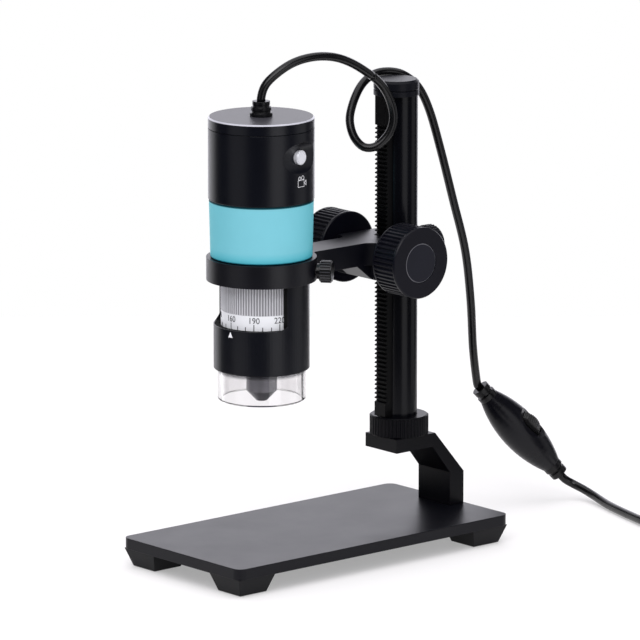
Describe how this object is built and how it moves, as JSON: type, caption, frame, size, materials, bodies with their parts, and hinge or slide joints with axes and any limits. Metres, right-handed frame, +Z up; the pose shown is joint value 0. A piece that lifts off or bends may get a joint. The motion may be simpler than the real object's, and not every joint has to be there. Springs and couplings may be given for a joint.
{
  "type": "handheld digital microscope on a focusing stand",
  "caption": "Slim cylindrical digital microscope held in a clamp ring on a rack-and-pinion column stand with a flat base, fluted focus knobs and a lead with an in-line light dimmer.",
  "frame": {"origin": "middle of the base plate's footprint, on the surface that the feet stand on", "axes": "+Z up along the column; the column stands towards +Y and the free end of the base is towards -Y; +X to the right when looking along +Y"},
  "size_m": [0.12, 0.2408, 0.1787],
  "materials": {
    "base_metal": "satin black paint",
    "black_anodised": "satin black anodised",
    "knob_inset": "turned, dark grey",
    "foot_rubber": "matte black",
    "rack_steel": "blackened",
    "bright_steel": "bright zinc",
    "bush_brass": "turned",
    "housing_black": "fine satin",
    "cap_black": "fine grain with a bright edge",
    "sleeve_teal": "satin soft-touch, pale blue-green",
    "nose_clear": "clear",
    "boot_rubber": "satin black",
    "board_green": "solder mask",
    "light_board_white": "white solder mask",
    "sensor_dark": "dark package",
    "diode_clear": "clear with a warm tint",
    "button_silver": "satin silver",
    "inner_black": "matte",
    "dial_grey": "light grey, satin",
    "scale_white": "white, satin",
    "barrel_grey": "dark grey anodised",
    "lens_glass": "polished, coated",
    "cord_black": "glossy black",
    "tie_black": "matte black",
    "dimmer_black": "satin black",
    "wheel_black": "glossy black",
    "plug_steel": "bright nickel",
    "tongue_white": "white"
  },
  "bodies": {
    "stand": {"base_plate": "base_metal", "feet": "foot_rubber", "foot_screws": "bright_steel", "column_bracket": "base_metal", "bracket_screws": "bright_steel", "column": "black_anodised", "rack": "rack_steel", "column_screw": "bright_steel", "column_cap": "black_anodised", "cord_upper": "cord_black", "dimmer_front": "dimmer_black", "dimmer_back": "dimmer_black", "dimmer_boots": "boot_rubber", "dimmer_board": "board_green", "cord_lower": "cord_black", "cord_coil": "cord_black", "cord_tie": "tie_black", "plug_body": "dimmer_black", "plug_shell": "plug_steel", "plug_tongue": "tongue_white"},
    "nut": {"column_nut": "black_anodised"},
    "carriage": {"holder_arm": "black_anodised", "pinion_bushes": "bush_brass"},
    "focus_pinion": {"pinion_shaft": "bright_steel", "knob_near": "black_anodised", "knob_far": "black_anodised", "knob_discs": "knob_inset"},
    "lock_screw": {"lock_knob": "black_anodised", "lock_stud": "bright_steel"},
    "ring_screw": {"ring_knob": "black_anodised", "ring_stud": "bright_steel"},
    "microscope": {"top_cap": "cap_black", "upper_housing": "housing_black", "grip_sleeve": "sleeve_teal", "lower_body": "housing_black", "clear_nose": "nose_clear", "cord_boot": "boot_rubber", "main_board": "board_green", "image_sensor": "sensor_dark", "button_board": "board_green", "push_switch": "sensor_dark", "barrel_guide": "inner_black", "dial_retainer": "inner_black", "light_board": "light_board_white", "light_diodes": "diode_clear"},
    "dial": {"focus_dial": "dial_grey", "dial_scale": "scale_white"},
    "lens_carrier": {"lens_barrel": "barrel_grey", "front_lens": "lens_glass"},
    "button": {"capture_button": "button_silver"},
    "wheel": {"dimmer_wheel": "wheel_black"}
  },
  "joints": [
    {"name": "carriage_slide", "type": "slide", "parent": "stand", "child": "carriage", "axis": [0, 0, 1], "range_m": [-0.045, 0.042], "deforming": ["cord_upper"]},
    {"name": "pinion_spin", "type": "hinge", "parent": "carriage", "child": "focus_pinion", "pos_m": [0, 0.02585, 0.1037], "axis": [1, 0, 0], "range_deg": [-687.6, 736.8]},
    {"name": "lock_knob_turn", "type": "hinge", "parent": "carriage", "child": "lock_screw", "pos_m": [0, 0.03795, 0.1037], "axis": [0, 1, 0], "range_deg": [-30, 360]},
    {"name": "ring_screw_turn", "type": "hinge", "parent": "carriage", "child": "ring_screw", "pos_m": [0, -0.0252, 0.1045], "axis": [0.766, 0.6428, 0], "range_deg": [-30, 360]},
    {"name": "column_nut_turn", "type": "hinge", "parent": "stand", "child": "nut", "pos_m": [0, 0.03795, 0.041], "axis": [0, 0, 1], "range_deg": [-30, 360]},
    {"name": "microscope_lift", "type": "slide", "parent": "carriage", "child": "microscope", "axis": [0, 0, 1], "range_m": [0, 0.052], "deforming": ["cord_upper"]},
    {"name": "focus_dial_turn", "type": "hinge", "parent": "microscope", "child": "dial", "pos_m": [0, -0.0252, 0.093], "axis": [0, 0, 1], "range_deg": [-74, 173]},
    {"name": "lens_slide", "type": "slide", "parent": "microscope", "child": "lens_carrier", "axis": [0, 0, 1], "range_m": [-0.00062, 0.00144]},
    {"name": "capture_button_press", "type": "slide", "parent": "microscope", "child": "button", "axis": [-0.9833, -0.1822, 0], "range_m": [0, 0.0006], "stiffness_N_per_m": 2000, "springref_m": -0.0002},
    {"name": "dimmer_wheel_turn", "type": "hinge", "parent": "stand", "child": "wheel", "pos_m": [-0.01112, 0.10724, 0.02658], "axis": [0.5694, -0.732, -0.3742], "range_deg": [-135, 135]}
  ],
  "couplings": [
    {"joint": "pinion_spin", "follows": "carriage_slide", "rad_per_m": -285.71},
    {"joint": "focus_dial_turn", "follows": "lens_slide", "rad_per_m": 2094.4}
  ]
}
